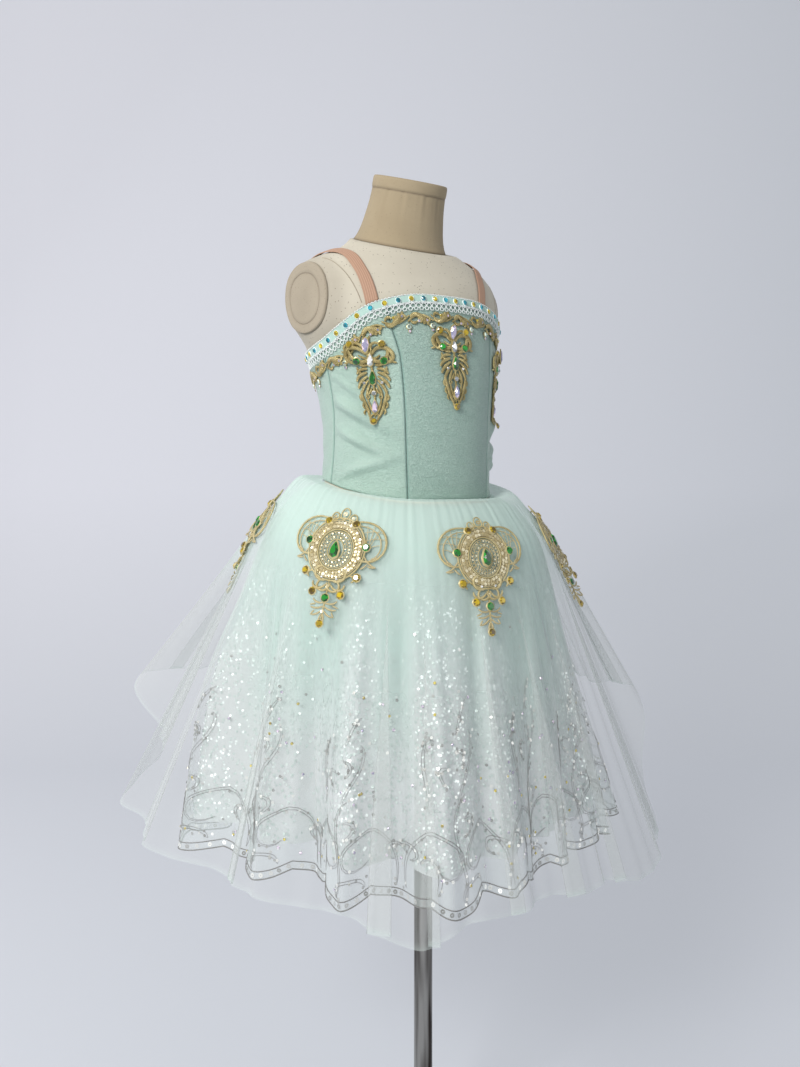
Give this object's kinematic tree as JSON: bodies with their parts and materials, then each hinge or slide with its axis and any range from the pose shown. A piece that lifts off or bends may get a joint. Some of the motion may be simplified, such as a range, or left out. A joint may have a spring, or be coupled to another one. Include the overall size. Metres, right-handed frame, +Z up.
{
  "type": "ballet tutu on a limbless dress form",
  "caption": "Child's ballet tutu with a boned satin bodice, gold applique and a soft layered tulle skirt, worn by a limbless dress form that stands on a metal pole and round base.",
  "frame": {"origin": "centre of the round base's underside, on the axis of the pole", "axes": "+Z up along the pole, -Y out of the front of the bodice, +X towards the wearer's left"},
  "size_m": [0.5649, 0.5244, 1.0875],
  "materials": {
    "overlay_tulle": "sheer matt tulle",
    "embroidered_net": "fine net with grey cord embroidery",
    "sequin_cloth": "mint net covered with iridescent sequins",
    "satin": "crepe-back satin, soft sheen",
    "lace": "matt cotton picot lace with stones",
    "elastic": "ribbed matt elastic",
    "gold_cord": "antique gold metallic thread with glass stones",
    "linen_cover": "matt flecked linen",
    "neck_cover": "matt linen, darker",
    "plate_cover": "matt linen over a board",
    "pole_chrome": "polished"
  },
  "bodies": {
    "root": {"stand_base": "pole_chrome", "stand_pole": "pole_chrome", "form_torso": "linen_cover", "form_arm_plate_right": "plate_cover", "form_arm_plate_left": "plate_cover", "form_neck": "neck_cover", "bodice_front_centre": "satin", "bodice_front_side_left": "satin", "bodice_front_side_right": "satin", "bodice_side_left": "satin", "bodice_side_right": "satin", "bodice_back_left": "satin", "bodice_back_right": "satin", "neckline_lace": "lace", "strap_right": "elastic", "strap_left": "elastic", "bodice_garland": "gold_cord", "skirt_sequin_layer": "sequin_cloth", "skirt_embroidered_net": "embroidered_net", "skirt_overlay": "overlay_tulle", "pendant_centre": "gold_cord", "pendant_right": "gold_cord", "pendant_left": "gold_cord", "medallion_front": "gold_cord", "medallion_front_right": "gold_cord", "medallion_back_right": "gold_cord", "medallion_back": "gold_cord", "medallion_back_left": "gold_cord", "medallion_front_left": "gold_cord"}
  },
  "joints": []
}
